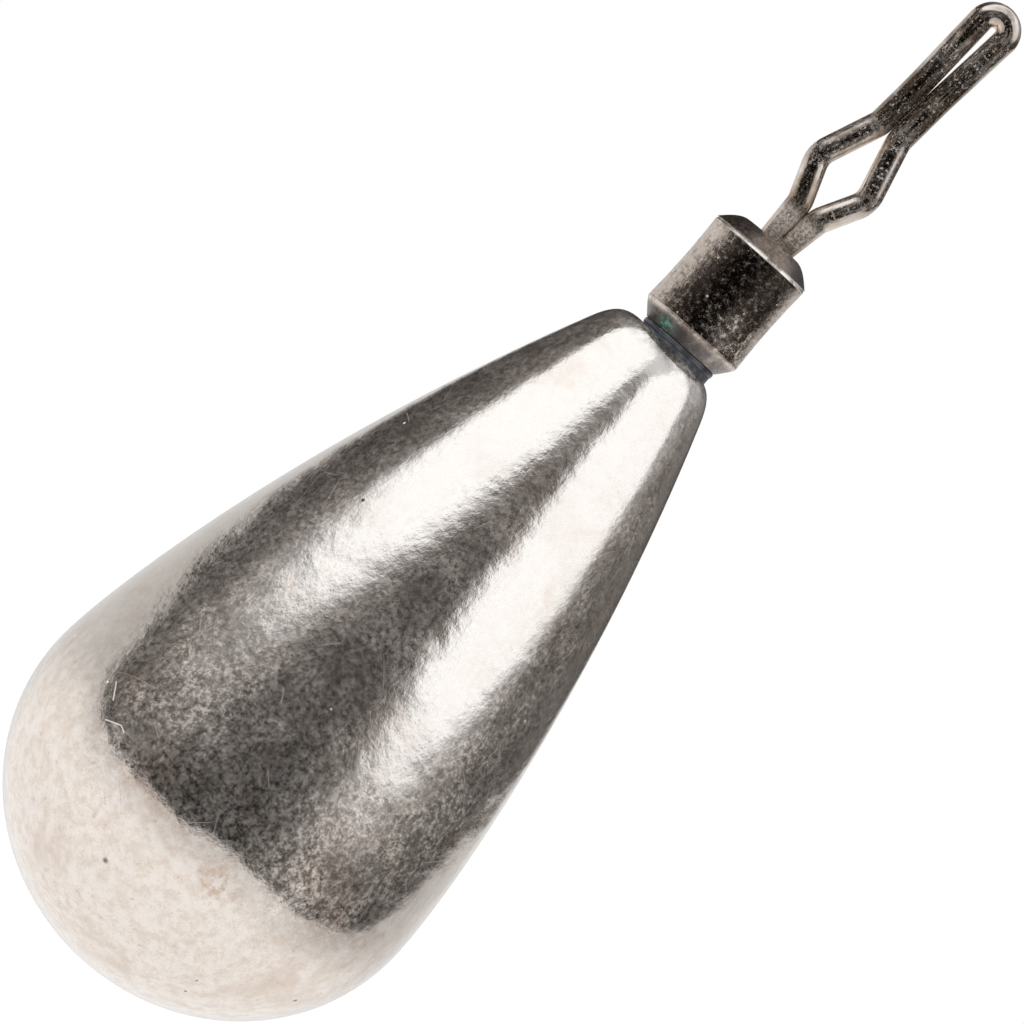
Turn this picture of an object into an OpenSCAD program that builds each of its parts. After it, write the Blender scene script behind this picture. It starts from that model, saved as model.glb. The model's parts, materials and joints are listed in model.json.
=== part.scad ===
// Fishing sinker: a teardrop weight on a barrel swivel, with a wire clip that pinches the line.
// Millimetres, +Z up. The origin is the middle of the clip's eye, where the line holds the sinker.
// Seen along +Y, the clip shows its flat side, and barrel and clip lean as they came to lie.

/* [Weight] */
// Length of the weight from its round bottom to its flat top
body_len = 18.1; // [15:0.1:24]
// Radius of the weight at its widest ring
body_r = 4.94; // [4:0.01:6.5]
// Height of the widest ring above the bottom
belly_h = 4.65; // [3.5:0.05:6]
// Radius of the flat top face
top_face_r = 0.8; // [0.7:0.01:1.2]
// Width of the rounded edge round the top face
top_edge_w = 0.85; // [0.6:0.01:1]
// Height of the rounded edge round the top face
top_edge_h = 0.7; // [0.5:0.01:0.9]
// Lean of the flank just under the top edge, in degrees from upright
flank_lean = 22.3; // [18:0.1:26]
// How far the swivel sits off the middle of the weight
swivel_offset = 0.18; // [0:0.01:0.3]

/* [Stud] */
// Radius of the shank that is glued into the weight
shank_r = 0.55; // [0.45:0.01:0.6]
// Length of the shank
shank_len = 3.2; // [2.4:0.1:5]
// Radius of the collar that shows between weight and barrel
collar_r = 0.95; // [0.85:0.01:1.1]
// Height of the collar
collar_h = 0.1; // [0.08:0.01:0.3]
// Radius of the waist that turns in the barrel's lower mouth
waist_r = 0.42; // [0.3:0.01:0.46]
// Thickness of the head inside the barrel
head_t = 0.36; // [0.28:0.01:0.5]

/* [Bond] */
// Thickness of the adhesive round the shank
bond_t = 0.1; // [0.06:0.01:0.12]
// Depth of the adhesive between the shank's end and the socket's floor
bond_floor_t = 0.2; // [0.1:0.01:0.4]
// Thickness of the adhesive under the collar, where it is thinnest
bond_rim_t = 0.02; // [0.01:0.005:0.05]
// How far that adhesive stays inside the collar's rim
bond_rim_inset = 0.02; // [0.01:0.01:0.1]

/* [Barrel] */
// Radius of the barrel at its two sharp edges
barrel_r = 1.24; // [1.2:0.01:1.5]
// Height of the barrel between its two sharp edges
barrel_len = 2.24; // [2.1:0.01:3]
// How much slimmer the barrel is at half height
barrel_waist = 0.035; // [0:0.005:0.06]
// Thickness of the barrel's side wall
barrel_wall = 0.24; // [0.18:0.01:0.28]
// Thickness of the two rolled-in lips
lip_t = 0.2; // [0.14:0.01:0.24]
// Height of the domed top above its sharp edge
dome_h = 0.37; // [0.34:0.01:0.55]
// Height of the crimped bottom below its sharp edge
crimp_h = 0.37; // [0.28:0.01:0.45]
// Radius of the flat face under the crimped bottom
crimp_face_r = 0.95; // [0.85:0.01:1.05]
// Lean of the barrel and the stud on the weight, in degrees
barrel_lean = -3; // [-4:0.1:4]

/* [Clip] */
// Diameter of the clip's wire
wire_d = 0.56; // [0.5:0.01:0.62]
// Diameter of the slimmer tails that go into the barrel
tail_d = 0.45; // [0.4:0.01:0.5]
// Gap between the two legs where they pinch the line
pinch_gap = 0.02; // [0.01:0.005:0.06]
// Width of the slot under the clip's round top
slot_w = 0.12; // [0.08:0.01:0.2]
// Width of the eye between its corners, along the wire's middle
eye_w = 1.47; // [1.2:0.01:1.8]
// Height of the tails from the barrel's top to the eye's lower bend
tail_h = 0.985; // [0.8:0.005:1.2]
// Height from the eye's lower bend to its corners
eye_low_h = 1; // [0.85:0.01:1.5]
// Height from the eye's corners to the pinch
eye_high_h = 1.4; // [1.2:0.01:2]
// Height from the pinch to the middle of the round top
slot_h = 3.1; // [2:0.05:4.5]
// Height from the pinch to where the legs part and the slot opens
closed_h = 1.2; // [0.5:0.05:1.6]
// Lean of the clip as it lies, in degrees
clip_lean = 1; // [-2:0.1:2]

/* [Running fits] */
// Least gap between parts that turn on each other
running_gap = 0.03; // [0.02:0.005:0.05]
// How far the tails lie off the middle of the barrel's upper mouth
tail_offset = 0.11; // [0:0.01:0.12]
// Slack of the waist in the barrel's lower mouth
waist_slack = 0.05; // [0.03:0.005:0.08]
// Slack of the head in the barrel's bore
head_slack = 0.12; // [0.08:0.01:0.16]

/* [Hidden] */
$fn = 64;

// Run of a cut past the face that it opens
overrun = 0.2;

// Steps along the long and the short curves of an outline
long_steps = 24;
short_steps = 8;

// Weight: how far the flank's curve is pulled from its two ends, in shares of its height
shoulder_share = 0.12;
flank_share = 0.46;
// Weight: the same for the rounded edge, in shares of its height and of its width
edge_rise_share = 0.75;
edge_run_share = 0.5;
flank_h = body_len - top_edge_h - belly_h;
neck_r = top_face_r + top_edge_w;

// Socket for the stud, with the point that a drill leaves
drill_point_angle = 31;
socket_r = shank_r + bond_t;
socket_depth = shank_len + bond_floor_t;
socket_point_h = socket_r * tan(drill_point_angle);

// Clip: the wire's middle and the bends, which follow the wire's thickness
wire_r = wire_d / 2;
tail_r = tail_d / 2;
leg_x = wire_r + pinch_gap / 2;
tail_x = tail_r + pinch_gap / 2;
loop_r = wire_r + slot_w / 2;
leg_bend_r = 0.95 * wire_d;
corner_bend_r = 1.05 * wire_d;
neck_bend_r = wire_d;
parting_bend_r = 9 * wire_d;
tail_bend_r = 0.6 * tail_d;
bend_swell = 0.004;
bend_bite = 0.03;
low_z = -eye_low_h;
mouth_z = low_z - tail_h;
pinch_z = eye_high_h;
parting_z = pinch_z + closed_h;
loop_z = pinch_z + slot_h;

// Barrel: its heights are counted from its own middle
joint_lean = clip_lean - barrel_lean;
barrel_top = barrel_len / 2 + dome_h;
barrel_bottom = -barrel_len / 2 - crimp_h;
bore_r = barrel_r - barrel_waist - barrel_wall;
mouth_r = tail_x + tail_r + tail_offset + running_gap + lip_t * abs(sin(joint_lean));
waist_hole_r = waist_r + waist_slack;
// Barrel: the flat ring round its upper mouth, and where the slopes inside begin
mouth_ring_w = 0.06;
mouth_ring_r = mouth_r + mouth_ring_w;
inner_edge_z = barrel_len / 2 - 0.3 * barrel_wall;
// Barrel: pulls of the two rolled ends, in shares of their width and height
dome_shares = [[0.29, 0.45], [0.64, 1]];
crimp_shares = [[0.25, 0.3], [0.62, 0.66]];

// Feet: the tails' ends turn outwards under the domed top and stay inside the bore
foot_reach = sqrt(pow(bore_r - running_gap, 2) - pow(tail_r, 2)) - tail_offset;
foot_lift = (foot_reach + tail_offset) * abs(sin(joint_lean));
foot_z = mouth_z - barrel_top + inner_edge_z - running_gap - tail_r - foot_lift;

// Stud: heights are counted from the underside of its collar, which leans as the barrel does
collar_round = 0.03;
head_round = 0.1;
shank_chamfer = 0.15;
groove_depth = 0.08;
groove_count = 4;
groove_share = 0.4;
head_r = bore_r - head_slack - running_gap;
waist_len = running_gap + lip_t + running_gap;
stud_lift = bond_rim_t + collar_r * abs(sin(barrel_lean));

// Places, as [x, z]: the barrel hangs on the tails, and the stud hangs in the barrel
function along(angle, distance) = [distance * sin(angle), distance * cos(angle)];
mouth_at = along(clip_lean, mouth_z) - [tail_offset, 0];
barrel_at = mouth_at - along(barrel_lean, barrel_top);
stud_at = barrel_at + along(barrel_lean, barrel_bottom - running_gap - collar_h);
weight_at = stud_at - [swivel_offset, stud_lift + body_len];

// Curves
function mix(a, b, t) = a + (b - a) * t;
function curve_point(a, b, c, d, t) =
    mix(mix(mix(a, b, t), mix(b, c, t), t), mix(mix(b, c, t), mix(c, d, t), t), t);
function curve(a, b, c, d, steps) = [for (i = [0 : steps]) curve_point(a, b, c, d, i / steps)];
function reverse(list) = [for (i = [len(list) - 1 : -1 : 0]) list[i]];

// The weight's half outline, from the middle of its bottom to the middle of its top
bulb = [for (i = [0 : long_steps - 1])
    let (angle = 90 * i / long_steps)
    [body_r * sin(angle), belly_h * (1 - cos(angle))]];
flank_pull = flank_share * flank_h;
flank = curve(
    [body_r, belly_h],
    [body_r, belly_h + shoulder_share * flank_h],
    [neck_r + flank_pull * tan(flank_lean), belly_h + flank_h - flank_pull],
    [neck_r, belly_h + flank_h],
    long_steps);
edge_pull = edge_rise_share * top_edge_h;
top_edge = curve(
    [neck_r, body_len - top_edge_h],
    [neck_r - edge_pull * tan(flank_lean), body_len - top_edge_h + edge_pull],
    [top_face_r + edge_run_share * top_edge_w, body_len],
    [top_face_r, body_len],
    short_steps);
top_edge_rest = [for (i = [1 : short_steps]) top_edge[i]];

module teardrop() {
    translate([weight_at[0], 0, weight_at[1]])
    rotate_extrude() polygon(concat(bulb, flank, top_edge_rest, [[0, body_len]]));
}

// Puts a piece that was drawn round the stud's axis where the stud is
module at_stud() {
    translate([stud_at[0], 0, stud_at[1]])
    rotate([0, barrel_lean, 0])
    children();
}

module weight_body() {
    color("dimgray")
    difference() {
        teardrop();
        at_stud() rotate_extrude() socket_outline(overrun);
    }
}

// Half outline of the socket, as deep as the drill went and as high above the collar's underside
// as asked
module socket_outline(above) {
    polygon([
        [0, -socket_depth - socket_point_h],
        [socket_r, -socket_depth],
        [socket_r, above],
        [0, above]]);
}

// Half outline of the stud: grooved shank, collar, waist and head
groove_pitch = (shank_len - 2 * shank_chamfer) / groove_count;
grooves = [for (i = [0 : groove_count - 1])
    let (low = shank_chamfer + groove_pitch * i + groove_pitch * (1 - groove_share) / 2 - shank_len)
    let (high = low + groove_pitch * groove_share)
    each [
        [shank_r, low],
        [shank_r - groove_depth, low],
        [shank_r - groove_depth, high],
        [shank_r, high]]];
waist_top = collar_h + waist_len;
head_top = waist_top + head_t;

module stud_outline() {
    polygon(concat(
        [[0, -shank_len], [shank_r - shank_chamfer, -shank_len]],
        [[shank_r, -shank_len + shank_chamfer]],
        grooves,
        [[shank_r, 0], [collar_r - collar_round, 0], [collar_r, collar_round]],
        [[collar_r, collar_h - collar_round], [collar_r - collar_round, collar_h]],
        [[waist_r, collar_h], [waist_r, waist_top]],
        [[head_r - head_round, waist_top], [head_r, waist_top + head_round]],
        [[head_r, head_top - head_round], [head_r - head_round, head_top], [0, head_top]]));
}

module anchor_stud() {
    color("slategray")
    at_stud() rotate_extrude() stud_outline();
}

// Adhesive that was squeezed out between the leaning collar and the weight's top
module squeezed_ring() {
    difference() {
        at_stud() translate([0, 0, -top_edge_h]) difference() {
            cylinder(h = top_edge_h, r = collar_r - bond_rim_inset);
            translate([0, 0, -overrun])
            cylinder(h = top_edge_h + 2 * overrun, r = shank_r + bond_t / 2);
        }
        teardrop();
    }
}

// The adhesive also fills what the shank leaves of the socket
module bond() {
    color("darkslategray")
    union() {
        at_stud() rotate_extrude() difference() {
            socket_outline(0);
            stud_outline();
        }
        squeezed_ring();
    }
}

// A rolled end from its sharp edge to the flat ring round its mouth; side is 1 at the top, -1 below
function rolled_end(ring_r, height, shares, side) =
    let (edge_z = side * barrel_len / 2)
    let (width = barrel_r - ring_r)
    curve(
        [barrel_r, edge_z],
        [barrel_r - shares[0][0] * width, edge_z + side * shares[0][1] * height],
        [barrel_r - shares[1][0] * width, edge_z + side * shares[1][1] * height],
        [ring_r, edge_z + side * height],
        short_steps);
waisted_side = [for (i = [1 : short_steps - 1])
    let (share = 2 * i / short_steps - 1)
    [barrel_r - barrel_waist * (1 - share * share), share * barrel_len / 2]];

module swivel_barrel() {
    color("darkslategray")
    translate([barrel_at[0], 0, barrel_at[1]])
    rotate([0, barrel_lean, 0])
    rotate_extrude() polygon(concat(
        [[waist_hole_r, barrel_bottom]],
        reverse(rolled_end(crimp_face_r, crimp_h, crimp_shares, -1)),
        waisted_side,
        rolled_end(mouth_ring_r, dome_h, dome_shares, 1),
        [[mouth_r, barrel_top], [mouth_r, barrel_top - lip_t]],
        [[mouth_ring_r, barrel_top - lip_t], [bore_r, inner_edge_z]],
        [[bore_r, -inner_edge_z], [head_r, barrel_bottom + lip_t]],
        [[waist_hole_r, barrel_bottom + lip_t]]));
}

// Wire that follows points in the flat: each corner is an arc, and the thickness may change
// between corners. A corner is [point, bend radius, wire radius]. A straight run reaches a
// little way into the bends at its ends, which swell a hair round it.
function heading(a, b) = atan2(b[1] - a[1], b[0] - a[0]);
function turn(a, b, c) =
    let (raw = heading(b, c) - heading(a, b))
    raw > 180 ? raw - 360 : raw < -180 ? raw + 360 : raw;
function pointing(angle) = [cos(angle), sin(angle)];
function cut_back(path, i) =
    i == 0 || i == len(path) - 1 ? 0 :
    path[i][1] * tan(abs(turn(path[i - 1][0], path[i][0], path[i + 1][0])) / 2);

module wire_run(path, i) {
    way = heading(path[i][0], path[i + 1][0]);
    start = path[i][0] + (cut_back(path, i) - (i == 0 ? 0 : bend_bite)) * pointing(way);
    end = path[i + 1][0] - (cut_back(path, i + 1) - bend_bite) * pointing(way);
    translate(start) rotate(way) rotate([0, 90, 0])
    cylinder(h = norm(end - start), r1 = path[i][2], r2 = path[i + 1][2]);
}

module wire_bend(path, i) {
    way = heading(path[i - 1][0], path[i][0]);
    angle = turn(path[i - 1][0], path[i][0], path[i + 1][0]);
    side = sign(angle);
    start = path[i][0] - cut_back(path, i) * pointing(way);
    middle = start + path[i][1] * pointing(way + side * 90);
    translate(middle) rotate(way - side * 90 + min(angle, 0))
    rotate_extrude(angle = abs(angle))
    translate([path[i][1], 0]) circle(path[i][2] + bend_swell);
}

module wire(path) {
    for (i = [0 : len(path) - 2]) wire_run(path, i);
    for (i = [1 : len(path) - 2]) wire_bend(path, i);
}

// The legs lie side by side from the pinch up to where they part, and touch the round top
parting_point = [leg_x, parting_z];
loop_point = [0, loop_z];
loop_start = heading(loop_point, parting_point) + acos(loop_r / norm(parting_point - loop_point));
leg_path = [
    [[foot_reach, foot_z], 0, tail_r],
    [[tail_x, foot_z], tail_bend_r, tail_r],
    [[tail_x, mouth_z], neck_bend_r, tail_r],
    [[leg_x, low_z], leg_bend_r, wire_r],
    [[eye_w / 2, 0], corner_bend_r, wire_r],
    [[leg_x, pinch_z], leg_bend_r, wire_r],
    [parting_point, parting_bend_r, wire_r],
    [loop_point + loop_r * pointing(loop_start), 0, wire_r]];

module line_clip() {
    color("dimgray")
    rotate([0, clip_lean, 0])
    rotate([90, 0, 0])
    union() {
        wire(leg_path);
        mirror([1, 0, 0]) wire(leg_path);
        translate(loop_point) rotate(loop_start)
        rotate_extrude(angle = 180 - 2 * loop_start)
        translate([loop_r, 0]) circle(wire_r + bend_swell);
    }
}

weight_body();
bond();
anchor_stud();
swivel_barrel();
line_clip();
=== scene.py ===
# %% [markdown]
# A teardrop fishing sinker, dressed for its picture
#
# The real object is five pieces: a weight of pressed and sintered metal, a small stud, the
# adhesive that holds it in the weight's top, a rolled brass barrel that turns on the stud's head,
# and a wire clip whose two feet turn under the barrel's domed top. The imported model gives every
# place and joint, so the script starts by loading it and notes the box that the finished sinker
# has to stay inside.

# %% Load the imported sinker
import json
from math import acos, atan2, cos, degrees, pi, radians, sin, sqrt, tan

import bpy
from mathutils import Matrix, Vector


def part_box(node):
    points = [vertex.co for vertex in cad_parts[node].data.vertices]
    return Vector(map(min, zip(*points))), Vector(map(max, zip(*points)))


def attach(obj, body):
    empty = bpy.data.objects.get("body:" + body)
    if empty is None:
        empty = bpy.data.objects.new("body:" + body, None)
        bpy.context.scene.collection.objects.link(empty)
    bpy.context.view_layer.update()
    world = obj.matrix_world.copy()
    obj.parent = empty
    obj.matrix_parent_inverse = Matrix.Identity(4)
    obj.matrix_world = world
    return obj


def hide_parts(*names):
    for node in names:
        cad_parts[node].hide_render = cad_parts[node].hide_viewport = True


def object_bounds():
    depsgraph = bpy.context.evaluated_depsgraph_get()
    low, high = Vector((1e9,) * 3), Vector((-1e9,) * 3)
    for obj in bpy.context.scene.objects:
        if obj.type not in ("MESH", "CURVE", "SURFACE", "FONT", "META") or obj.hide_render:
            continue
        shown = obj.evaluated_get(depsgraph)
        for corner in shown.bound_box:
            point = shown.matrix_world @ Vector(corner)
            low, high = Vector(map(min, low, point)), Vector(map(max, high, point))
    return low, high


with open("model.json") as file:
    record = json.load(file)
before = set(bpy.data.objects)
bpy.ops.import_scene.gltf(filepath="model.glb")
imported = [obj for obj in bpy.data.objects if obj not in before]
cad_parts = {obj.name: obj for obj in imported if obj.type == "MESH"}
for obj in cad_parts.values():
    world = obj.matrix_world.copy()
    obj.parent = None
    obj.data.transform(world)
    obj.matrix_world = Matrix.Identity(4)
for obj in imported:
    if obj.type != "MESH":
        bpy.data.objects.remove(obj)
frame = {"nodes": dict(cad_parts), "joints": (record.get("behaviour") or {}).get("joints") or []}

MM = 0.001
cad_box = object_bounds()
print("CAD box, mm:", [[round(value / MM, 3) for value in corner] for corner in cad_box])

# %% [markdown]
# The camera comes first. It looks straight at the flat side of the clip through a long lens and is
# rolled, so that the sinker lies across the picture with its round end at the lower left. The
# picture's middle is a point on the weight, a little below its neck.

# %% Camera
LENS = 400
SENSOR = 36
PICTURE_WIDTH = 21.86 * MM
PICTURE_MIDDLE = Vector((-0.070, 0, -10.016)) * MM
CAMERA_ROLL = radians(-44.36)

camera_distance = PICTURE_WIDTH * LENS / SENSOR
bpy.ops.object.camera_add(
    location=PICTURE_MIDDLE - Vector((0, camera_distance, 0)),
    rotation=(radians(90), CAMERA_ROLL, 0),
)
camera = bpy.context.object
camera.data.lens = LENS
camera.data.sensor_width = SENSOR
camera.data.clip_start = 1 * MM
bpy.context.scene.camera = camera
bpy.context.scene.view_settings.view_transform = "Standard"
print("camera stands", round(camera_distance / MM, 1), "mm in front of the sinker")

# %% [markdown]
# The weight, the stud and the barrel are all round. So one helper makes them all, as a potter or a
# lathe does: an outline is drawn by extruding a single point, then spun about the axis. Doubles at
# the poles are merged and the faces are turned outwards. A primitive cylinder or ball would need
# more work to get these outlines.

# %% Helper: spin an outline into a round piece
MERGE = 0.0001 * MM
AROUND = 160
BEVEL_STEPS = 3


def only(piece):
    bpy.ops.object.select_all(action="DESELECT")
    piece.select_set(True)
    bpy.context.view_layer.objects.active = piece


def along(lean):
    return Vector((sin(lean), 0, cos(lean)))


def across(lean):
    return Vector((cos(lean), 0, -sin(lean)))


def clean_up():
    bpy.ops.mesh.select_all(action="SELECT")
    bpy.ops.mesh.remove_doubles(threshold=MERGE)
    bpy.ops.mesh.normals_make_consistent(inside=False)
    bpy.ops.object.mode_set(mode="OBJECT")
    bpy.ops.object.transform_apply(location=True, rotation=True, scale=True)


def spun(name, outline, foot, lean=0.0, closed=False):
    """A round piece: outline holds (radius, height), counted from foot along the leaning axis."""
    bpy.ops.object.select_all(action="DESELECT")
    points = [foot + radius * across(lean) + height * along(lean) for radius, height in outline]
    bpy.ops.mesh.primitive_plane_add(size=MM, location=points[0])
    piece = bpy.context.object
    piece.name = name
    bpy.ops.object.mode_set(mode="EDIT")
    bpy.ops.mesh.merge(type="CENTER")
    way = points + points[:1] if closed else points
    for start, end in zip(way, way[1:]):
        bpy.ops.mesh.extrude_region_move(TRANSFORM_OT_translate={"value": end - start})
    bpy.ops.mesh.select_all(action="SELECT")
    bpy.ops.mesh.remove_doubles(threshold=MERGE)
    bpy.ops.mesh.spin(steps=AROUND, angle=2 * pi, center=foot, axis=along(lean), use_auto_merge=True)
    clean_up()
    return piece


def curve(a, b, c, d, steps):
    """Points of a cubic curve from a to d, pulled towards b and c."""
    def point(t):
        s = 1 - t
        return tuple(
            s**3 * a[i] + 3 * s * s * t * b[i] + 3 * s * t * t * c[i] + t**3 * d[i]
            for i in range(2)
        )
    return [point(i / steps) for i in range(steps + 1)]


def smooth(piece, angle):
    only(piece)
    bpy.ops.object.shade_smooth_by_angle(angle=radians(angle))


def bevelled(piece, width, angle):
    only(piece)
    bevel = piece.modifiers.new("edges", "BEVEL")
    bevel.width = width
    bevel.segments = BEVEL_STEPS
    bevel.limit_method = "ANGLE"
    bevel.angle_limit = radians(angle)
    bpy.ops.object.modifier_apply(modifier=bevel.name)


print("round pieces are spun in", AROUND, "steps")

# %% [markdown]
# The weight is a teardrop: a bulb that is a little flatter than a ball, flanks that run up nearly
# straight to the neck, and a rounded edge round a small flat top. The bulb is a quarter ellipse,
# and flank and edge are cubic curves, so that light runs over them without a kink. Its length and
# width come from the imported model's box.

# %% Outline of the weight
weight_low, weight_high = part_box("weight_body")
body_r = (weight_high.y - weight_low.y) / 2
body_len = weight_high.z - weight_low.z
belly_h = 4.65 * MM
top_face_r = 0.8 * MM
top_edge_w = 0.85 * MM
top_edge_h = 0.7 * MM
flank_lean = radians(22.3)
SHOULDER_SHARE = 0.12
FLANK_SHARE = 0.46
EDGE_RISE_SHARE = 0.75
EDGE_RUN_SHARE = 0.5
LONG_STEPS = 60
SHORT_STEPS = 10

flank_h = body_len - top_edge_h - belly_h
neck_r = top_face_r + top_edge_w
flank_pull = FLANK_SHARE * flank_h
edge_pull = EDGE_RISE_SHARE * top_edge_h
bulb_turns = [pi / 2 * step / LONG_STEPS for step in range(LONG_STEPS)]
bulb = [(body_r * sin(turn), belly_h * (1 - cos(turn))) for turn in bulb_turns]
flank = curve(
    (body_r, belly_h),
    (body_r, belly_h + SHOULDER_SHARE * flank_h),
    (neck_r + flank_pull * tan(flank_lean), belly_h + flank_h - flank_pull),
    (neck_r, belly_h + flank_h),
    LONG_STEPS,
)
top_edge = curve(
    (neck_r, body_len - top_edge_h),
    (neck_r - edge_pull * tan(flank_lean), body_len - top_edge_h + edge_pull),
    (top_face_r + EDGE_RUN_SHARE * top_edge_w, body_len),
    (top_face_r, body_len),
    SHORT_STEPS,
)
weight_outline = bulb + flank + top_edge[1:] + [(0, body_len)]
print("weight outline:", len(weight_outline), "points, widest", round(body_r / MM, 3), "mm")

# %% [markdown]
# The socket for the stud is a hole drilled in the top, a hair off the middle and 3 degrees out of
# true, as on the real weight. It is cut with a Boolean modifier, because its axis isn't the
# weight's own, so it can't be part of the spun outline.

# %% Weight with its drilled socket
joints = {joint["name"]: joint for joint in frame["joints"]}
stud_at = Vector(joints["weight_spin"]["pos_m"])
stud_axis = Vector(joints["weight_spin"]["axis"])
stud_lean = atan2(stud_axis.x, stud_axis.z)
socket_r = 0.65 * MM
socket_depth = 3.4 * MM
drill_point_lean = radians(31)
overrun = 0.5 * MM
weight_crease = 40

weight_foot = Vector(((weight_low.x + weight_high.x) / 2, 0, weight_low.z))
weight = spun("weight", weight_outline, weight_foot)
drill_point_h = socket_r * tan(drill_point_lean)
socket_outline = [
    (0, -socket_depth - drill_point_h),
    (socket_r, -socket_depth),
    (socket_r, overrun),
    (0, overrun),
]
drill = spun("drill", socket_outline, stud_at, stud_lean)
only(weight)
cut = weight.modifiers.new("socket", "BOOLEAN")
cut.operation = "DIFFERENCE"
cut.solver = "EXACT"
cut.object = drill
bpy.ops.object.modifier_apply(modifier=cut.name)
bpy.data.objects.remove(drill)
smooth(weight, weight_crease)
print("weight:", len(weight.data.polygons), "faces, drill leans", round(degrees(stud_lean), 2))

# %% [markdown]
# The stud is a turned pin: a grooved shank that the glue grips, a thin collar that shows between
# weight and barrel, a waist that turns in the barrel's lower mouth, and a head that can't come out
# of it. A small bevel takes the sharpness off the collar, as tumbling does.

# %% Stud
shank_r = 0.55 * MM
shank_len = 3.2 * MM
collar_r = 0.95 * MM
collar_h = 0.122 * MM
waist_r = 0.42 * MM
head_r = 0.815 * MM
head_t = 0.36 * MM
head_top = 0.72 * MM
groove_depth = 0.08 * MM
groove_count = 4
GROOVE_SHARE = 0.4
shank_chamfer = 0.15 * MM
edge_round = 0.03 * MM
stud_bevel_over = 60
stud_crease = 35

groove_pitch = (shank_len - 2 * shank_chamfer) / groove_count
groove_h = groove_pitch * GROOVE_SHARE
grooves = []
for number in range(groove_count):
    low = shank_chamfer + groove_pitch * number + (groove_pitch - groove_h) / 2 - shank_len
    high = low + groove_h
    grooves += [(shank_r, low), (shank_r - groove_depth, low)]
    grooves += [(shank_r - groove_depth, high), (shank_r, high)]
stud_outline = [(0, -shank_len), (shank_r - shank_chamfer, -shank_len)]
stud_outline += [(shank_r, -shank_len + shank_chamfer)] + grooves
stud_outline += [(shank_r, 0), (collar_r, 0), (collar_r, collar_h), (waist_r, collar_h)]
stud_outline += [(waist_r, head_top - head_t), (head_r, head_top - head_t), (head_r, head_top)]
stud_outline += [(0, head_top)]
stud = spun("stud", stud_outline, stud_at, stud_lean)
bevelled(stud, edge_round, stud_bevel_over)
smooth(stud, stud_crease)
print("stud:", len(stud.data.polygons), "faces, shank", round(shank_len / MM, 2), "mm long")

# %% [markdown]
# The barrel is a tube of thin brass whose two ends were rolled in: a dome at the top, a short
# cone below. Between them its side is a hair slimmer at half height, and both corners are crisp.
# The whole wall is one closed outline, inside and outside, so the barrel is really hollow.

# %% Sizes of the barrel
barrel_len = 2.24 * MM
barrel_waist = 0.035 * MM
barrel_wall = 0.24 * MM
lip_t = 0.2 * MM
dome_h = 0.37 * MM
crimp_h = 0.37 * MM
mouth_r = 0.614 * MM
mouth_ring_r = 0.674 * MM
waist_hole_r = 0.47 * MM
crimp_face_r = 0.95 * MM
corner_round = 0.018 * MM
DOME_SHARES = ((0.29, 0.45), (0.64, 1))
CRIMP_SHARES = ((0.25, 0.3), (0.62, 0.66))
shoulder_h = 0.07 * MM
shoulder_in = 0.031 * MM
low_shoulder_h = 0.03 * MM
low_shoulder_in = 0.012 * MM
hold = 0.006 * MM
barrel_bevel_over = 25
barrel_crease = 35
SIDE_STEPS = 24
INNER_SHARE = 0.3

barrel_low, barrel_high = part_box("swivel_barrel")
barrel_r = (barrel_high.y - barrel_low.y) / 2
mouth_at = Vector(joints["barrel_spin"]["pos_m"])
barrel_axis = Vector(joints["barrel_spin"]["axis"])
barrel_lean = atan2(barrel_axis.x, barrel_axis.z)
barrel_foot = mouth_at - barrel_axis * (dome_h + barrel_len + crimp_h)
side_low = crimp_h
side_high = crimp_h + barrel_len
barrel_top = side_high + dome_h
bore_r = barrel_r - barrel_waist - barrel_wall
inner_inset = INNER_SHARE * barrel_wall
print("barrel:", round(barrel_r / MM, 3), "mm in radius, bore", round(bore_r / MM, 3), "mm")

# %% [markdown]
# The outline runs up the outside, over the dome into the upper mouth, and down the inside. The
# rolled ends are curves. A narrow shoulder beside each corner makes the bright lines that the
# rolling tool left, and a short step holds it apart from the slimmer side.

# %% Barrel
def rolled_end(ring_r, edge_z, rise, shares):
    """A rolled end from its corner to the ring round its mouth; rise is negative below."""
    width = barrel_r - ring_r
    (run_a, rise_a), (run_b, rise_b) = shares
    return curve(
        (barrel_r, edge_z),
        (barrel_r - run_a * width, edge_z + rise_a * rise),
        (barrel_r - run_b * width, edge_z + rise_b * rise),
        (ring_r, edge_z + rise),
        SHORT_STEPS,
    )


side = []
for step in range(1, SIDE_STEPS):
    share = 2 * step / SIDE_STEPS - 1
    side_z = side_low + barrel_len * step / SIDE_STEPS
    side.append((barrel_r - barrel_waist * (1 - share * share), side_z))
barrel_outline = [(waist_hole_r, 0)]
barrel_outline += rolled_end(crimp_face_r, side_low, -crimp_h, CRIMP_SHARES)[::-1]
barrel_outline += [(barrel_r - low_shoulder_in, side_low), (barrel_r, side_low + low_shoulder_h)]
barrel_outline += [(barrel_r - hold, side_low + low_shoulder_h + hold)] + side
barrel_outline += [(barrel_r - hold, side_high - shoulder_h - hold)]
barrel_outline += [(barrel_r, side_high - shoulder_h), (barrel_r - shoulder_in, side_high)]
barrel_outline += rolled_end(mouth_ring_r, side_high, dome_h, DOME_SHARES)
barrel_outline += [(mouth_r, barrel_top), (mouth_r, barrel_top - lip_t)]
barrel_outline += [(mouth_ring_r, barrel_top - lip_t), (bore_r, side_high - inner_inset)]
barrel_outline += [(bore_r, side_low + inner_inset), (head_r, lip_t), (waist_hole_r, lip_t)]
barrel = spun("barrel", barrel_outline, barrel_foot, barrel_lean, closed=True)
bevelled(barrel, corner_round, barrel_bevel_over)
smooth(barrel, barrel_crease)
print("barrel:", len(barrel.data.polygons), "faces, leaning", round(degrees(barrel_lean), 2))

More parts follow.
